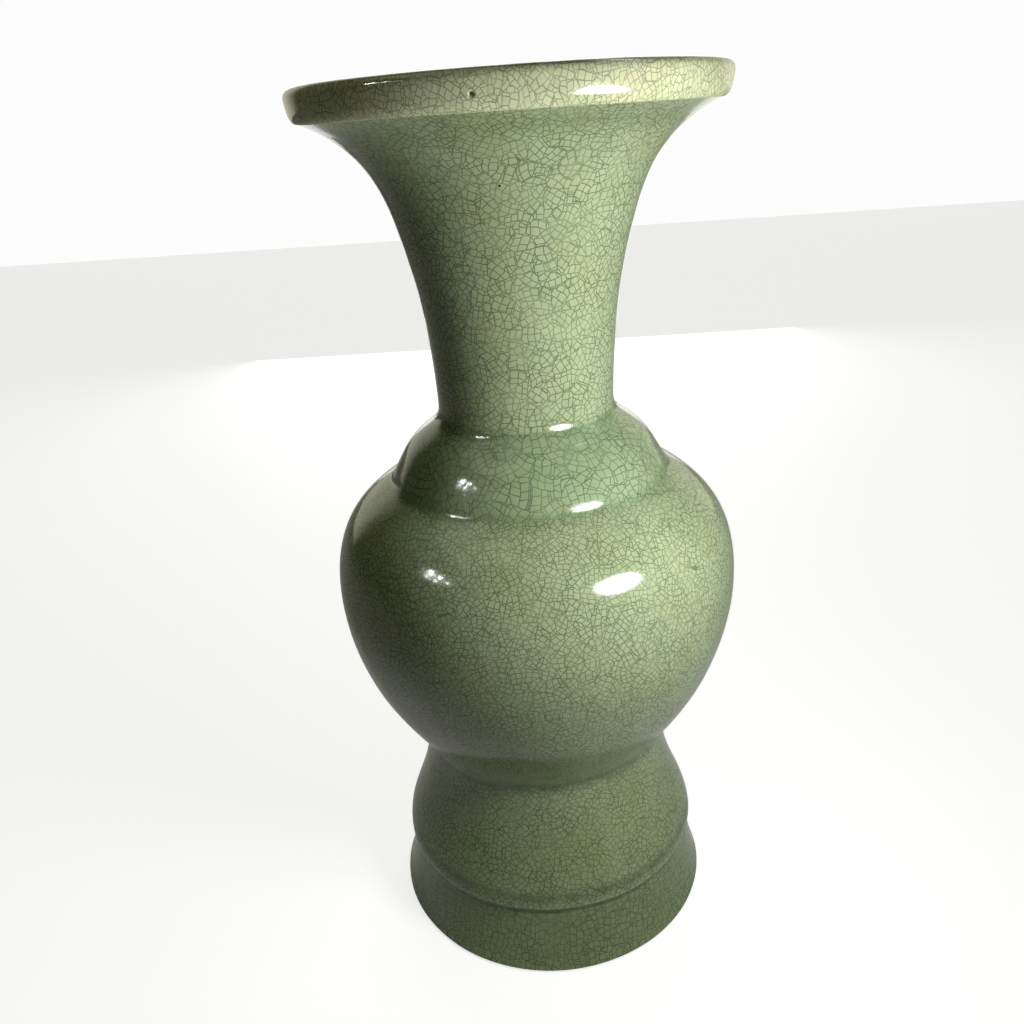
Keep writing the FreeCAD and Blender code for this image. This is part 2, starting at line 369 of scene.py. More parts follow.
def spun_shell(rows):
    """A closed shell of glaze: the rows are its open side, and its hidden side lies on the clay."""
    shell = bmesh.new()
    layers = {name: shell.verts.layers.float.new(name) for name in NOTES}
    hidden_count = max(3, len(rows) // 2)
    hidden = rows[np.unique(np.linspace(0, len(rows) - 1, hidden_count).astype(int))][::-1]
    chain = []
    for row in rows:
        chain.append((row[0], row[1], 1.0, row))
    for row in hidden:
        radius = max(row[0] - GLAZE * row[2], 0.0) if row[0] > 0 else 0.0
        chain.append((radius, row[1] - GLAZE * row[3], 0.0, row))
    corners = []
    for radius, level, open_side, row in chain:
        corner = shell.verts.new((radius * MM, 0.0, level * MM))
        corner[layers["open_side"]] = open_side
        corner[layers["out"]] = row[2]
        corner[layers["up"]] = row[3]
        corner[layers["reach"]] = row[4]
        corners.append(corner)
    on_axis = rows[-1][0] < 1e-6
    pairs = list(zip(corners, corners[1:])) + [(corners[-1], corners[0])]
    for first, second in pairs:
        if on_axis and first.co.x < 1e-9 and second.co.x < 1e-9:
            continue
        shell.edges.new((first, second))
    bmesh.ops.spin(shell, geom=shell.verts[:] + shell.edges[:], cent=(0, 0, 0), axis=(0, 0, 1),
                   dvec=(0, 0, 0), angle=2 * math.pi, steps=TURN_STEPS, use_merge=True,
                   use_normal_flip=False, use_duplicate=False, space=Matrix())
    if on_axis:
        poles = [vertex for vertex in shell.verts if math.hypot(vertex.co.x, vertex.co.y) < 1e-7]
        bmesh.ops.remove_doubles(shell, verts=poles, dist=1e-7)
    bmesh.ops.recalc_face_normals(shell, faces=shell.faces[:])
    return shell


def read_all(items, field, width=1, kind=float):
    """One field of all of a mesh's items, with a row for each item where the field is a vector."""
    values = np.zeros(len(items) * width, kind)
    items.foreach_get(field, values)
    return values.reshape(-1, width) if width > 1 else values


def noted(mesh, name):
    return read_all(mesh.attributes[name].data, "value")


def face_of_corners(mesh):
    """The face that each corner of the mesh belongs to."""
    return np.repeat(np.arange(len(mesh.polygons)), read_all(mesh.polygons, "loop_total", kind=int))


def true_normals(spots, out, up):
    radius = np.maximum(np.hypot(spots[:, 0], spots[:, 1]), 1e-9)
    return np.column_stack([out * spots[:, 0] / radius, out * spots[:, 1] / radius, up])


def unit_rows(vectors):
    return vectors / np.maximum(np.linalg.norm(vectors, axis=1, keepdims=True), 1e-12)


def unwrapped(mesh, open_face, bands, reach):
    """A map that lays the open side out in bands round the vase, with the hidden side in a thin strip."""
    spots = read_all(mesh.vertices, "co", 3)
    corner_vertex = read_all(mesh.loops, "vertex_index", kind=int)
    centres = read_all(mesh.polygons, "center", 3)
    face_angle = np.arctan2(centres[:, 1], centres[:, 0]) % (2 * math.pi)
    face_of = face_of_corners(mesh)
    angle = np.arctan2(spots[corner_vertex, 1], spots[corner_vertex, 0])
    apart = (angle - face_angle[face_of] + math.pi) % (2 * math.pi) - math.pi
    at_pole = np.hypot(spots[corner_vertex, 0], spots[corner_vertex, 1]) < 1e-7
    apart[at_pole] = 0.0
    columns = (face_angle[face_of] + apart) / (2 * math.pi)
    band_of = np.floor(face_angle / (2 * math.pi) * bands).astype(int)[face_of]
    share = (reach[corner_vertex] - reach.min()) / (reach.max() - reach.min())
    band_height = (1 - BAKE_STRIP - BAKE_MARGIN) / bands
    across = BAKE_MARGIN + (columns * bands - band_of) * (1 - 2 * BAKE_MARGIN)
    along = BAKE_STRIP + BAKE_MARGIN + band_of * band_height + share * (band_height - BAKE_MARGIN)
    tucked = ~open_face[face_of]
    across[tucked] = BAKE_MARGIN + columns[tucked] * (1 - 2 * BAKE_MARGIN)
    along[tucked] = BAKE_MARGIN / 2 + share[tucked] * (BAKE_STRIP - BAKE_MARGIN)
    bake_map = mesh.uv_layers.new(name="OFBake")
    bake_map.data.foreach_set("uv", np.column_stack([across, along]).ravel())


def finish_coat(name, shell, bands, materials):
    """Turns a shell into a piece: its surface wanders, it shades smoothly, and it has its map."""
    mesh = bpy.data.meshes.new(name)
    shell.to_mesh(mesh)
    shell.free()
    spots = read_all(mesh.vertices, "co", 3) / MM
    open_side = noted(mesh, "open_side") > 0.99
    normals = true_normals(spots, noted(mesh, "out"), noted(mesh, "up"))
    shift, slope = surface_shift(spots)
    pit, pit_slope = pinhole_shift(spots)
    shift = shift + pit
    slope = slope + pit_slope
    moved = spots + normals * (shift * open_side)[:, None]
    mesh.vertices.foreach_set("co", (moved * MM).ravel())
    leaning = slope - (slope * normals).sum(1)[:, None] * normals
    shaded = unit_rows(normals - leaning)

    corner_vertex = read_all(mesh.loops, "vertex_index", kind=int)
    face_of = face_of_corners(mesh)
    closed = np.bincount(face_of, weights=~open_side[corner_vertex], minlength=len(mesh.polygons))
    open_face = closed < 0.5
    mesh.update()
    flat = read_all(mesh.polygons, "normal", 3)
    corner_normals = np.where(open_face[face_of][:, None], shaded[corner_vertex], flat[face_of])
    mesh.polygons.foreach_set("use_smooth", np.ones(len(mesh.polygons), bool))
    mesh.polygons.foreach_set("material_index", np.where(open_face, 0, 1))
    unwrapped(mesh, open_face, bands, noted(mesh, "reach"))
    mesh.normals_split_custom_set(corner_normals.tolist())
    for material in materials:
        mesh.materials.append(material)
    for spare in NOTES:
        mesh.attributes.remove(mesh.attributes[spare])
    piece = bpy.data.objects.new(name, mesh)
    bpy.context.scene.collection.objects.link(piece)
    return piece


# ---- A pinhole that burst in the band's glaze, and a fleck of iron on the neck
PINHOLE_RADIUS = 1.0
PINHOLE_DEPTH = 0.55
PINHOLE_LIP = 0.14
PINHOLE_LIP_SPREAD = 4
PINHOLE_FELT = 50
FAR_AWAY = 60


def spot_on(line, share, turn):
    """A spot on the outside, as a share of its stretch and a turn about the axis in degrees."""
    radius, level = line.at(share * line.length)
    return (radius * math.cos(math.radians(turn)), radius * math.sin(math.radians(turn)), level)


pinhole = spot_on(band, share=0.16, turn=-97.5)
iron_fleck = spot_on(neck, share=0.73, turn=-95.0)


def pinhole_shift(spots):
    """A round pit with a slightly raised lip, and its gradient."""
    away = spots - np.array(pinhole)
    square = (away ** 2).sum(1)
    near = np.clip(square / PINHOLE_RADIUS ** 2, 0, FAR_AWAY)
    pit = -PINHOLE_DEPTH * np.exp(-near ** 2)
    swell = PINHOLE_LIP * np.exp(-near / PINHOLE_LIP_SPREAD)
    by_square = (pit * -2 * near - swell / PINHOLE_LIP_SPREAD) / PINHOLE_RADIUS ** 2
    return pit + swell * (near < PINHOLE_FELT), 2 * by_square[:, None] * away


def refine_near(shell, centre, radius, cuts):
    """Cuts the faces round a spot finer."""
    spot = Vector(centre) * MM
    close = [face for face in shell.faces if (face.calc_center_median() - spot).length < radius * MM]
    edges = {edge for face in close for edge in face.edges}
    bmesh.ops.subdivide_edges(shell, edges=list(edges), cuts=cuts, use_grid_fill=True)


# ---- Materials
class Finish:
    """One material and the nodes that make it."""

    def __init__(self, name):
        self.material = bpy.data.materials.new(name)
        self.material.use_nodes = True
        self.tree = self.material.node_tree
        self.tree.nodes.clear()

    def node(self, kind, inputs=None, **settings):
        made = self.tree.nodes.new(kind)
        for key, value in settings.items():
            setattr(made, key, value)
        for key, value in (inputs or {}).items():
            self.feed(made.inputs[key], value)
        return made

    def feed(self, socket, value):
        if isinstance(value, bpy.types.NodeSocket):
            self.tree.links.new(value, socket)
        else:
            socket.default_value = value

    def math(self, operation, *values, clamp=False):
        made = self.node("ShaderNodeMath", operation=operation, use_clamp=clamp)
        for socket, value in zip(made.inputs, values):
            self.feed(socket, value)
        return made.outputs[0]

    def vector(self, operation, *values):
        made = self.node("ShaderNodeVectorMath", operation=operation)
        for socket, value in zip(made.inputs, values):
            self.feed(socket, value)
        measures = operation in ("DOT_PRODUCT", "LENGTH", "DISTANCE")
        return made.outputs["Value" if measures else "Vector"]

    def scaled(self, vector, factor):
        made = self.node("ShaderNodeVectorMath", {"Vector": vector, "Scale": factor}, operation="SCALE")
        return made.outputs["Vector"]

    def fade(self, value, start, end, start_value=0.0, end_value=1.0):
        made = self.node("ShaderNodeMapRange", {"Value": value, "From Min": start, "From Max": end,
                                                "To Min": start_value, "To Max": end_value},
                         interpolation_type="SMOOTHSTEP")
        return made.outputs["Result"]

    def blend(self, factor, first, second, blend_type="MIX"):
        made = self.node("ShaderNodeMix", data_type="RGBA", blend_type=blend_type)
        self.feed(made.inputs["Factor"], factor)
        self.feed(made.inputs[6], first)
        self.feed(made.inputs[7], second)
        return made.outputs[2]

    def noise(self, vector, size, detail=2.0, roughness=0.5):
        return self.node("ShaderNodeTexNoise", {"Vector": vector, "Scale": 1.0 / size, "Detail": detail,
                                                "Roughness": roughness})

    def cells(self, vector, size, feature):
        return self.node("ShaderNodeTexVoronoi", {"Vector": vector, "Scale": 1.0 / size, "Randomness": 0.9},
                         voronoi_dimensions="3D", feature=feature)

    def strips(self, value, feature, evenness=0.45):
        return self.node("ShaderNodeTexVoronoi", {"W": value, "Scale": 1.0, "Randomness": 1.0 - evenness},
                         voronoi_dimensions="1D", feature=feature)

    def parts(self, colour):
        made = self.node("ShaderNodeSeparateColor", {"Color": colour})
        return made.outputs["Red"], made.outputs["Green"], made.outputs["Blue"]

    def shade(self, **inputs):
        shader = self.node("ShaderNodeBsdfPrincipled", inputs)
        output = self.node("ShaderNodeOutputMaterial")
        self.tree.links.new(shader.outputs["BSDF"], output.inputs["Surface"])
        return self.material


def rgb(red, green, blue):
    return (red, green, blue, 1.0)


# The crackle's sizes, as shares of a cell
GROUP_SIZE = 2.3
SWAY_SIZE = 2.6
SWAY = 0.9
CROSS_SPACING = 1.08
PATCH_SIZE = 4.5
# How much a group's cracks bow and a strip's cross cracks lean, in millimetres, and what keeps strips unlike
STRIP_BOW = 0.05
CROSS_LEAN = 0.8
STRIP_SHIFT = 91.0
CROSS_SHIFT = 57.0
FLATTEST = 0.06
FAINTEST_CRACK = 0.68


def local_directions(finish, place):
    """The surface's own directions round the vase and up it."""
    coords = finish.node("ShaderNodeTexCoord")
    normal = coords.outputs["Normal"]
    around = finish.vector("NORMALIZE", finish.vector("CROSS_PRODUCT", (0.0, 0.0, 1.0), place))
    upward = finish.vector("CROSS_PRODUCT", normal, around)
    return normal, around, upward


def crackle(finish, place, cell, tall, spread, line_width):
    """The glaze's crackle: long cracks, then strips between them, then short cracks across each strip.

    Gives how strong a crack is here, and a random number of the small cell.
    """
    normal, around, upward = local_directions(finish, place)
    sway = finish.noise(place, cell * SWAY_SIZE, 1.0)
    sway = finish.vector("SUBTRACT", sway.outputs["Color"], (0.5, 0.5, 0.5))
    spot = finish.vector("ADD", place, finish.scaled(sway, cell * SWAY))

    nearest = finish.cells(spot, cell * GROUP_SIZE, "F1")
    second = finish.cells(spot, cell * GROUP_SIZE, "F2")
    home, other = nearest.outputs["Position"], second.outputs["Position"]
    between = finish.vector("NORMALIZE", finish.vector("SUBTRACT", other, home))
    middle = finish.scaled(finish.vector("ADD", home, other), 0.5)
    through = finish.vector("DOT_PRODUCT", finish.vector("SUBTRACT", middle, spot), between)
    tilt = finish.vector("DOT_PRODUCT", between, normal)
    aslant = finish.math("SUBTRACT", 1.0, finish.math("MULTIPLY", tilt, tilt))
    slant = finish.math("SQRT", finish.math("MAXIMUM", aslant, FLATTEST))
    long_gap = finish.math("DIVIDE", through, slant)

    chance, turn_chance, bow_chance = finish.parts(nearest.outputs["Color"])
    angle = finish.math("MULTIPLY", finish.math("SUBTRACT", turn_chance, 0.5), spread)
    cosine, sine = finish.math("COSINE", angle), finish.math("SINE", angle)
    away = finish.vector("SUBTRACT", spot, home)
    sideways = finish.vector("DOT_PRODUCT", away, around)
    upwards = finish.math("DIVIDE", finish.vector("DOT_PRODUCT", away, upward), tall)
    along = finish.math("ADD", finish.math("MULTIPLY", sideways, cosine),
                        finish.math("MULTIPLY", upwards, sine))
    across = finish.math("SUBTRACT", finish.math("MULTIPLY", upwards, cosine),
                         finish.math("MULTIPLY", sideways, sine))
    bow = finish.math("MULTIPLY", finish.math("SUBTRACT", bow_chance, 0.5), STRIP_BOW / cell)
    bowed = finish.math("ADD", along, finish.math("MULTIPLY", bow, finish.math("MULTIPLY", across, across)))
    strip_place = finish.math("ADD", finish.math("DIVIDE", bowed, cell),
                              finish.math("MULTIPLY", chance, STRIP_SHIFT))
    strip_edge = finish.strips(strip_place, "DISTANCE_TO_EDGE")
    strip_gap = finish.math("MULTIPLY", strip_edge.outputs["Distance"], cell)
    strip_chance, strip_second, _ = finish.parts(finish.strips(strip_place, "F1").outputs["Color"])

    cross_place = finish.math("ADD", finish.math("DIVIDE", across, cell * CROSS_SPACING),
                              finish.math("MULTIPLY", strip_chance, CROSS_SHIFT))
    leaning = finish.math("MULTIPLY", finish.math("SUBTRACT", strip_second, 0.5), CROSS_LEAN / cell)
    cross_place = finish.math("ADD", cross_place, finish.math("MULTIPLY", bowed, leaning))
    cross_edge = finish.strips(cross_place, "DISTANCE_TO_EDGE")
    cross_gap = finish.math("MULTIPLY", cross_edge.outputs["Distance"], cell * CROSS_SPACING)
    cell_chance, _, _ = finish.parts(finish.strips(cross_place, "F1").outputs["Color"])

    patch = finish.noise(place, cell * PATCH_SIZE, 1.0).outputs["Fac"]
    strength = finish.fade(patch, 0.30, 0.62, FAINTEST_CRACK, 1.0)
    gap = finish.math("MINIMUM", long_gap, finish.math("MINIMUM", strip_gap, cross_gap))
    half = line_width / 2
    soft = line_width * 0.35
    lines = finish.fade(gap, half - soft, half + soft, 1.0, 0.0)
    return finish.math("MULTIPLY", lines, strength), cell_chance


def level_bands(finish, level, bands):
    """How strongly a level lies in the bands, from (level, half width, strength) of each band: the bands are
    pools of glaze with painted shade, and a ridge of thin glaze with a painted highlight.
    """
    total = 0.0
    for middle, reach, strength in bands:
        away = finish.math("ABSOLUTE", finish.math("SUBTRACT", level, middle))
        total = finish.math("ADD", total, finish.fade(away, 0.0, reach, strength, 0.0))
    return total


# The glaze's mottling, as the sizes of its patches in millimetres
CLOUD_SIZE = 38.0
FLUSH_SIZE = 20.0
WAVER_SIZE = 9.0
MOTTLE_SIZE = 6.5
PEEL_SIZE = 2.6
PEEL_HEIGHT = 0.012
CRACK_HOLLOW = 0.004
SPECK_SPACING = 7.5
SPECK_CORE = 0.14
SPECK_RADIUS = 0.34
SPECK_CHANCE = 0.955
GLASS_IOR = 1.5


def tinted(colour, red, green, blue):
    """A colour with each of its parts made stronger or weaker."""
    return rgb(colour[0] * red, colour[1] * green, colour[2] * blue)


def celadon(name, cell, pale, deep, tall=1.0, spread=math.pi, line_width=0.34, line_depth=0.80,
            pools_and_shade=(), ridges_and_highlight=(), flecks_and_pit_shade=()):
    """Crackled sea-green glaze, glassy, with mottled depth and fine dark cracks.

    It is deeper in bands where it pools, darkened further as painted shade in creases and under overhangs,
    paler over a ridge where it runs thin, partly as a painted highlight, dark at a fleck of iron, and dark
    in the pinhole's pit as painted shade.
    """
    finish = Finish(name)
    coords = finish.node("ShaderNodeTexCoord")
    place = finish.scaled(coords.outputs["Object"], 1.0 / MM)
    cracks, cell_chance = crackle(finish, place, cell, tall, spread, line_width)
    cloud = finish.noise(place, CLOUD_SIZE, 3.0).outputs["Fac"]
    mottle = finish.noise(place, MOTTLE_SIZE, 3.0, 0.6).outputs["Fac"]
    depth = finish.math("ADD", finish.fade(cloud, 0.30, 0.70, 0.0, 0.6),
                        finish.fade(mottle, 0.32, 0.68, 0.0, 0.4))
    body = finish.blend(depth, pale, deep)
    flush = finish.fade(finish.noise(place, FLUSH_SIZE, 3.0).outputs["Fac"], 0.48, 0.74, 0.0, 0.40)
    body = finish.blend(flush, body, tinted(pale, 0.98, 0.84, 0.76))
    flicker = finish.fade(cell_chance, 0.0, 1.0, 0.97, 1.03)
    flicker = finish.node("ShaderNodeCombineColor", {"Red": flicker, "Green": flicker, "Blue": flicker})
    body = finish.blend(1.0, body, flicker.outputs["Color"], "MULTIPLY")
    wavering = finish.noise(place, WAVER_SIZE, 2.0).outputs["Fac"]
    wavering = finish.fade(wavering, 0.25, 0.75, 0.55, 1.25)
    level = finish.node("ShaderNodeSeparateXYZ", {"Vector": place}).outputs["Z"]
    # Darker bands: pooled glaze in creases and under overhangs, with painted shade there.
    if pools_and_shade:
        pooled_and_shaded = finish.math("MULTIPLY", level_bands(finish, level, pools_and_shade), wavering, clamp=True)
        body = finish.blend(pooled_and_shaded, body, tinted(deep, 0.30, 0.42, 0.26))
    # Paler band over a ridge: thin glaze, with a painted highlight along it.
    if ridges_and_highlight:
        thinned_and_lit = finish.math("MULTIPLY", level_bands(finish, level, ridges_and_highlight), wavering, clamp=True)
        body = finish.blend(thinned_and_lit, body, tinted(pale, 1.55, 1.45, 1.60))
    stain = tinted(deep, 0.20, 0.28, 0.22)
    colour = finish.blend(finish.math("MULTIPLY", cracks, line_depth), body, stain)
    speck_place = finish.cells(place, SPECK_SPACING, "F1")
    _, _, speck_kind = finish.parts(speck_place.outputs["Color"])
    near = finish.math("MULTIPLY", speck_place.outputs["Distance"], SPECK_SPACING)
    speck_here = finish.fade(speck_kind, SPECK_CHANCE, SPECK_CHANCE + 0.01)
    dot = finish.math("MULTIPLY", finish.fade(near, SPECK_CORE, SPECK_RADIUS, 1.0, 0.0), speck_here)
    colour = finish.blend(finish.math("MULTIPLY", dot, 0.8), colour, rgb(0.020, 0.024, 0.012))
    # Dark spots: an iron fleck's own colour, and painted shade in the pinhole's pit.
    for middle, radius in flecks_and_pit_shade:
        near = finish.vector("DISTANCE", place, middle)
        dark_spot = finish.fade(near, radius * 0.55, radius, 0.95, 0.0)
        colour = finish.blend(dark_spot, colour, rgb(0.012, 0.014, 0.007))
    peel = finish.noise(place, PEEL_SIZE, 1.0).outputs["Fac"]
    height = finish.math("SUBTRACT", finish.math("MULTIPLY", peel, PEEL_HEIGHT),
                         finish.math("MULTIPLY", cracks, CRACK_HOLLOW))
    bump = finish.node("ShaderNodeBump", {"Height": height, "Distance": MM, "Strength": 1.0})
    gloss = finish.fade(mottle, 0.2, 0.8, 0.07, 0.12)
    gloss = finish.math("ADD", gloss, finish.math("MULTIPLY", cracks, 0.04))
    return finish.shade(**{"Base Color": colour, "Roughness": gloss, "IOR": GLASS_IOR,
                           "Normal": bump.outputs["Normal"]})


def plain_glaze(name):
    """The glaze's hidden side, where it has fused to the clay."""
    finish = Finish(name)
    coords = finish.node("ShaderNodeTexCoord")
    place = finish.scaled(coords.outputs["Object"], 1.0 / MM)
    grain = finish.noise(place, 3.0, 2.0).outputs["Fac"]
    colour = finish.blend(grain, rgb(0.20, 0.22, 0.13), rgb(0.28, 0.29, 0.18))
    return finish.shade(**{"Base Color": colour, "Roughness": 0.6})


def clay_finish(name, light, dark, grain_size):
    """Fired clay: fine grain, a warmer flush in patches, and turning lines."""
    finish = Finish(name)
    coords = finish.node("ShaderNodeTexCoord")
    place = finish.scaled(coords.outputs["Object"], 1.0 / MM)
    grain = finish.noise(place, grain_size, 4.0, 0.65).outputs["Fac"]
    flush = finish.noise(place, 24.0, 2.0).outputs["Fac"]
    colour = finish.blend(finish.fade(grain, 0.3, 0.7), light, dark)
    colour = finish.blend(finish.fade(flush, 0.45, 0.75, 0.0, 0.5), colour, rgb(0.42, 0.22, 0.10))
    grit = finish.noise(place, 0.5, 3.0, 0.7).outputs["Fac"]
    bump = finish.node("ShaderNodeBump", {"Height": grit, "Distance": 0.12 * MM, "Strength": 0.8})
    return finish.shade(**{"Base Color": colour, "Roughness": 0.78, "Normal": bump.outputs["Normal"]})


# ---- Glazes by place: cells in millimetres, paler and greener towards the top, the paleness partly painted light
glaze_underside = plain_glaze("glaze_underside")
# Each zone's tones are partly the glaze's own colour and partly painted light: each is set brighter or
# darker for how the light falls on it, the mouth band brightest.
PALE_TOP, DEEP_TOP = rgb(0.80, 0.84, 0.54), rgb(0.66, 0.71, 0.43)
PALE_NECK, DEEP_NECK = rgb(0.47, 0.56, 0.335), rgb(0.37, 0.46, 0.255)
PALE_COLLAR, DEEP_COLLAR = rgb(0.36, 0.46, 0.27), rgb(0.29, 0.385, 0.21)
PALE_BELLY, DEEP_BELLY = rgb(0.43, 0.515, 0.31), rgb(0.34, 0.42, 0.23)
PALE_DRUM, DEEP_DRUM = rgb(0.42, 0.52, 0.285), rgb(0.33, 0.425, 0.21)
PALE_SKIRT, DEEP_SKIRT = rgb(0.325, 0.43, 0.20), rgb(0.25, 0.345, 0.14)

# Darker bands where the glaze pools and painted shade falls in creases and under overhangs (the rim, the
# belly, the drum's bulge), a darker lip top, and a paler ridge of thin glaze with a painted highlight, as
# (level, half width, strength)
ledge_pool_shade = (skirt_top_level - 0.7, 1.9, 0.95)
drum_pool_shade = (skirt_top_level + 8.5, 4.5, 0.60)
ledge_ridge_highlight = (skirt_top_level + LEDGE_RISE, 1.4, 0.65)
waist_pool_shade = (waist_level, 7.0, 0.60)
collar_pool_shade = (collar_base_level, 4.0, 0.35)
neck_pool_shade = (neck_base_level, 4.0, 0.35)
# Darker along the top of the lip.
lip_top_darkening = (vase_height + 0.4, 2.0, 0.65)
flare_pool_shade = (band_base_level - 4.0, 7.0, 0.35)

band_celadon = celadon("celadon_mouth_band", 2.1, PALE_TOP, DEEP_TOP, tall=1.15, line_width=0.26,
                       line_depth=0.70, pools_and_shade=[lip_top_darkening], flecks_and_pit_shade=[(pinhole, 1.15)])
neck_celadon = celadon("celadon_neck", 2.7, PALE_NECK, DEEP_NECK, line_width=0.36,
                       pools_and_shade=[neck_pool_shade, flare_pool_shade], flecks_and_pit_shade=[(iron_fleck, 0.7)])
collar_celadon = celadon("celadon_collar", 3.4, PALE_COLLAR, DEEP_COLLAR, pools_and_shade=[neck_pool_shade, collar_pool_shade])
belly_celadon = celadon("celadon_belly", 2.3, PALE_BELLY, DEEP_BELLY, line_width=0.32,
                        pools_and_shade=[collar_pool_shade, waist_pool_shade])
drum_celadon = celadon("celadon_foot_drum", 2.6, PALE_DRUM, DEEP_DRUM, pools_and_shade=[waist_pool_shade, drum_pool_shade],
                       ridges_and_highlight=[ledge_ridge_highlight])
skirt_celadon = celadon("celadon_foot_skirt", 3.1, PALE_SKIRT, DEEP_SKIRT, tall=1.15, spread=0.5,
                        pools_and_shade=[ledge_pool_shade], ridges_and_highlight=[ledge_ridge_highlight])
lining_celadon = celadon("celadon_lining", 2.8, PALE_NECK, DEEP_NECK)

# ---- The outer coat, one piece over each thrown section
OUTER_STEP = 1.6
INNER_STEP = 2.2


def outer_coat(name, first, last, bands, material):
    """One piece of the outer coat, between the upper ends of two stretches."""
    low = stretch_ends[first] if first else 0.0
    rows = rows_along(fine_outline, low, stretch_ends[last], OUTER_STEP)
    shell = spun_shell(rows)
    if name == "mouth_band_glaze":
        refine_near(shell, pinhole, 4.0, 3)
        refine_near(shell, pinhole, 1.9, 3)
    piece = finish_coat(name, shell, bands, [material, glaze_underside])
    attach(piece, "root")
    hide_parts("outer_glaze")


outer_coat("foot_skirt_glaze", None, ledge, 3, skirt_celadon)
outer_coat("foot_drum_glaze", ledge, drum, 2, drum_celadon)
outer_coat("belly_lower_glaze", drum, lower_belly, 2, belly_celadon)
outer_coat("belly_upper_glaze", lower_belly, upper_belly, 3, belly_celadon)
outer_coat("collar_glaze", upper_belly, collar, 3, collar_celadon)
outer_coat("neck_glaze", collar, neck, 2, neck_celadon)
outer_coat("mouth_band_glaze", neck, lip_under, 4, band_celadon)


# ---- The lining of the vase and the coat in its hollow foot
def inner_coat(name, line, first_share, last_share, bands, material, node, flip):
    """A coat inside, between two shares of its line, flipped where the line runs up instead of down."""
    marks = np.linspace(first_share * line.length, last_share * line.length, 3000)
    fine = np.hstack([line.at(marks), line.heading(marks)])
    rows = rows_along(fine, 0.0, None, INNER_STEP)
    if flip:
        rows[:, 2:4] *= -1
    shell = spun_shell(rows)
    piece = finish_coat(name, shell, bands, [material, glaze_underside])
    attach(piece, "root")
    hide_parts(node)


cavity = cavity_line()
inner_coat("neck_lining", cavity, 0.0, 0.48, 2, lining_celadon, "inner_glaze", flip=False)
inner_coat("belly_lining", cavity, 0.48, 1.0, 2, lining_celadon, "inner_glaze", flip=False)
inner_coat("foot_well_coat", well_line(), 0.0, 1.0, 2, drum_celadon, "foot_well_glaze", flip=True)

# ---- The clay sections and the slip between them, bare only on the foot ring
fired_clay = clay_finish("fired_clay_body", rgb(0.50, 0.36, 0.24), rgb(0.34, 0.23, 0.15), 1.6)
luting_slip = clay_finish("luting_slip_body", rgb(0.44, 0.33, 0.23), rgb(0.32, 0.23, 0.16), 0.9)
for node_name, node_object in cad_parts.items():
    finish = luting_slip if node_name.startswith("slip_") else fired_clay
    for material_slot in node_object.material_slots:
        material_slot.material = finish


# ---- Floor, light and camera
WHITE = rgb(1.0, 1.0, 1.0)
FLOOR_GREY = rgb(0.66, 0.66, 0.64)
FLOOR_GLOW = 0.75
FLOOR_GLEAM = 0.14
FAR_FLOOR_GLEAM = 0.03
ROOM_LIGHT = 0.006
BACKDROP_LIGHT = 0.85
BACKDROP_SEEN = 0.98
WARM_ROOM = rgb(1.0, 0.97, 0.78)
WARM_TOP = (1.0, 0.96, 0.74)
SHOULDER = Vector((0.0, 0.0, 0.24))
KEY_PLACE = Vector((0.158, -0.192, 0.304))
CEILING_WAY = (0.36, 0.28, 0.83)
WINDOW_DISTANCE = 1.2
WINDOW_BRIGHTNESS = 150.0
# The window's panes, as their turn aside and rise from its middle, and their width and height
WINDOW_PANES = [(0.0, 0.0, 0.07, 0.08), (0.10, 0.01, 0.05, 0.06), (0.01, -0.09, 0.05, 0.04),
                (0.09, -0.08, 0.04, 0.04), (0.20, -0.02, 0.05, 0.03)]
CAMERA_PLACE = (0.0, -0.3895, 0.3844)
CAMERA_PITCH = 0.41562
CAMERA_YAW = -0.02496
CAMERA_ROLL = -0.06808
SENSOR_WIDTH = 36.0
FOCAL_LENGTH = 31.28


def add_floor():
    """A pale floor, brighter to the eye than it is to the vase."""
    floor_mesh = bmesh.new()
    bmesh.ops.create_grid(floor_mesh, x_segments=1, y_segments=1, size=3.0)
    mesh = bpy.data.meshes.new("floor")
    floor_mesh.to_mesh(mesh)
    floor_mesh.free()
    finish = Finish("pale_floor")
    path = finish.node("ShaderNodeLightPath")
    place = finish.node("ShaderNodeTexCoord").outputs["Object"]
    near = finish.fade(finish.vector("LENGTH", place), 0.20, 0.40, FLOOR_GLEAM, FAR_FLOOR_GLEAM)
    gleam = finish.math("MULTIPLY", path.outputs["Is Glossy Ray"], near)
    glow = finish.math("ADD", gleam, finish.math("MULTIPLY", path.outputs["Is Camera Ray"], FLOOR_GLOW))
    mesh.materials.append(finish.shade(**{"Base Color": FLOOR_GREY, "Roughness": 0.6,
                                          "Emission Color": WHITE, "Emission Strength": glow}))
    floor = bpy.data.objects.new("floor", mesh)
    bpy.context.scene.collection.objects.link(floor)


def add_softbox(name, direction, distance, width, height, power, colour=(1, 1, 1), gleam_only=False):
    """A flat soft light that faces the vase's shoulder, or only its gleam in the glaze."""
    lamp = bpy.data.lights.new(name, "AREA")
    lamp.shape = "RECTANGLE"
    lamp.size = width
    lamp.size_y = height
    lamp.energy = power
    lamp.color = colour
    holder = bpy.data.objects.new(name, lamp)
    towards = Vector(direction).normalized()
    holder.location = SHOULDER + towards * distance
    holder.rotation_euler = towards.to_track_quat("Z", "Y").to_euler()
    holder.visible_camera = False
    holder.visible_diffuse = not gleam_only
    bpy.context.scene.collection.objects.link(holder)
    return lamp


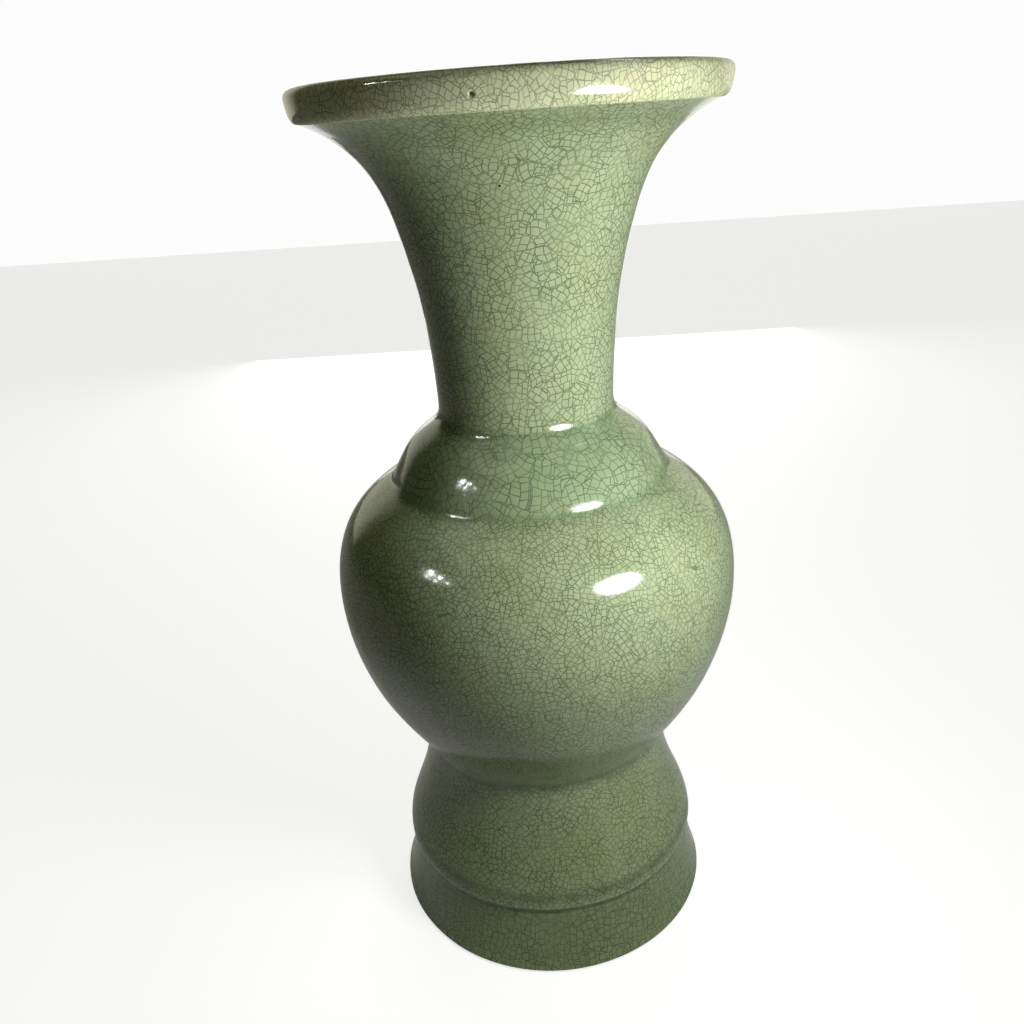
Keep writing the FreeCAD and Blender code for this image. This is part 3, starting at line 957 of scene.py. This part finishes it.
def add_surroundings():
    """A white studio behind the vase and a dim room in front of it."""
    world = bpy.data.worlds.new("studio")
    bpy.context.scene.world = world
    world.use_nodes = True
    tree = world.node_tree
    tree.nodes.clear()
    coords = tree.nodes.new("ShaderNodeTexCoord")
    split = tree.nodes.new("ShaderNodeSeparateXYZ")
    tree.links.new(coords.outputs["Generated"], split.inputs["Vector"])
    behind = tree.nodes.new("ShaderNodeMapRange")
    behind.interpolation_type = "SMOOTHSTEP"
    behind.inputs["From Min"].default_value = 0.60
    behind.inputs["From Max"].default_value = 0.80
    behind.inputs["To Min"].default_value = ROOM_LIGHT
    behind.inputs["To Max"].default_value = BACKDROP_LIGHT
    tree.links.new(split.outputs["Y"], behind.inputs["Value"])
    seen = tree.nodes.new("ShaderNodeLightPath")
    unlit = tree.nodes.new("ShaderNodeMix")
    tree.links.new(seen.outputs["Is Diffuse Ray"], unlit.inputs["Factor"])
    tree.links.new(behind.outputs["Result"], unlit.inputs["A"])
    unlit.inputs["B"].default_value = ROOM_LIGHT
    strength = tree.nodes.new("ShaderNodeMix")
    tree.links.new(seen.outputs["Is Camera Ray"], strength.inputs["Factor"])
    tree.links.new(unlit.outputs["Result"], strength.inputs["A"])
    strength.inputs["B"].default_value = BACKDROP_SEEN
    tint = tree.nodes.new("ShaderNodeMix")
    tint.data_type = "RGBA"
    tree.links.new(seen.outputs["Is Camera Ray"], tint.inputs["Factor"])
    tint.inputs[6].default_value = WARM_ROOM
    tint.inputs[7].default_value = WHITE
    background = tree.nodes.new("ShaderNodeBackground")
    tree.links.new(tint.outputs[2], background.inputs["Color"])
    tree.links.new(strength.outputs["Result"], background.inputs["Strength"])
    output = tree.nodes.new("ShaderNodeOutputWorld")
    tree.links.new(background.outputs["Background"], output.inputs["Surface"])


def add_camera():
    ahead = Vector((math.sin(CAMERA_YAW) * math.cos(CAMERA_PITCH),
                    math.cos(CAMERA_YAW) * math.cos(CAMERA_PITCH), -math.sin(CAMERA_PITCH)))
    level_right = ahead.cross(Vector((0, 0, 1))).normalized()
    level_up = level_right.cross(ahead)
    right = math.cos(CAMERA_ROLL) * level_right + math.sin(CAMERA_ROLL) * level_up
    up = math.cos(CAMERA_ROLL) * level_up - math.sin(CAMERA_ROLL) * level_right
    lens = bpy.data.cameras.new("camera")
    lens.sensor_width = SENSOR_WIDTH
    lens.lens = FOCAL_LENGTH
    holder = bpy.data.objects.new("camera", lens)
    turned = Matrix((right, up, -ahead)).transposed().to_4x4()
    holder.matrix_world = Matrix.Translation(CAMERA_PLACE) @ turned
    bpy.context.scene.collection.objects.link(holder)
    bpy.context.scene.camera = holder


add_floor()
add_surroundings()
to_key = KEY_PLACE - SHOULDER
key_lamp = add_softbox("key_softbox", to_key, to_key.length, width=0.115, height=0.080, power=0.57)
key_lamp.shape = "ELLIPSE"
add_softbox("top_softbox", (-0.30, -0.05, 0.95), 1.2, width=0.8, height=0.8, power=1.5, colour=WARM_TOP)
add_softbox("right_wall_softbox", (1.0, -0.2, 0.12), 1.1, width=0.9, height=0.9, power=1.2)
add_softbox("back_softbox", (0.0, 1.0, 0.15), 1.2, width=1.0, height=1.0, power=3.6)
add_softbox("ceiling_gleam", CEILING_WAY, 1.0, width=0.40, height=0.10, power=0.5, gleam_only=True)
for index, (turn, rise, wide, high) in enumerate(WINDOW_PANES):
    direction = (-0.77 + turn * 0.4, -0.28 - turn, 0.575 + rise)
    pane = "window_gleam_%d" % (index + 1)
    power = WINDOW_BRIGHTNESS * wide * high
    add_softbox(pane, direction, WINDOW_DISTANCE, wide, high, power, gleam_only=True)
add_camera()
bpy.context.scene.view_settings.view_transform = "Standard"
bpy.context.view_layer.update()
